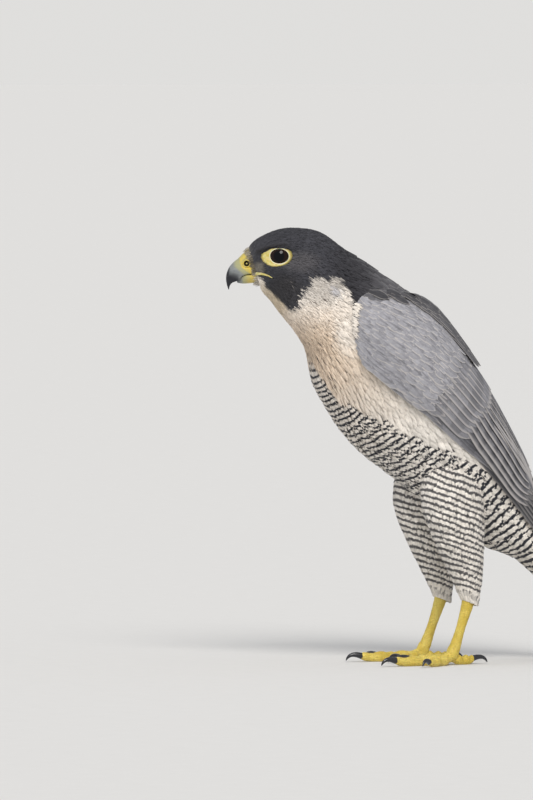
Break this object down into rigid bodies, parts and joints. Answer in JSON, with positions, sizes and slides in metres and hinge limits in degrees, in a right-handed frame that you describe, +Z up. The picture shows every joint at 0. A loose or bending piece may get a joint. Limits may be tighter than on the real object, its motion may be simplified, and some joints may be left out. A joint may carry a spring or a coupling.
{
  "type": "peregrine falcon",
  "caption": "Life-size standing falcon with folded wings and long tail, its head turned to one side, for display or scene dressing.",
  "frame": {"origin": "on the floor under the middle of the bird's bounding box", "axes": "+Z up, the breast towards -Y, the bird's left side towards +X"},
  "size_m": [0.1156, 0.2872, 0.316],
  "materials": {
    "slate_feather": "soft, dark slate feathers of hood and nape",
    "pale_feather": "soft, pinkish white feathers with dark streaks and bars",
    "grey_feather": "close, blue-grey feathers with pale edges and dark bars",
    "yellow_skin": "bare yellow skin, finely scaled on legs and feet",
    "horn": "smooth blue-grey horn, darker at the tip",
    "eye": "wet, very dark brown",
    "claw": "black, smooth"
  },
  "bodies": {
    "root": {"head": "slate_feather", "neck": "pale_feather", "torso": "pale_feather", "left_thigh": "pale_feather", "right_thigh": "pale_feather", "left_wing": "grey_feather", "right_wing": "grey_feather", "tail": "grey_feather", "cere": "yellow_skin", "left_shank": "yellow_skin", "right_shank": "yellow_skin", "left_foot": "yellow_skin", "right_foot": "yellow_skin", "upper_bill": "horn", "lower_bill": "horn", "left_eye": "eye", "right_eye": "eye", "left_middle_claw": "claw", "left_inner_claw": "claw", "left_outer_claw": "claw", "left_hind_claw": "claw", "right_middle_claw": "claw", "right_inner_claw": "claw", "right_outer_claw": "claw", "right_hind_claw": "claw"}
  },
  "joints": []
}
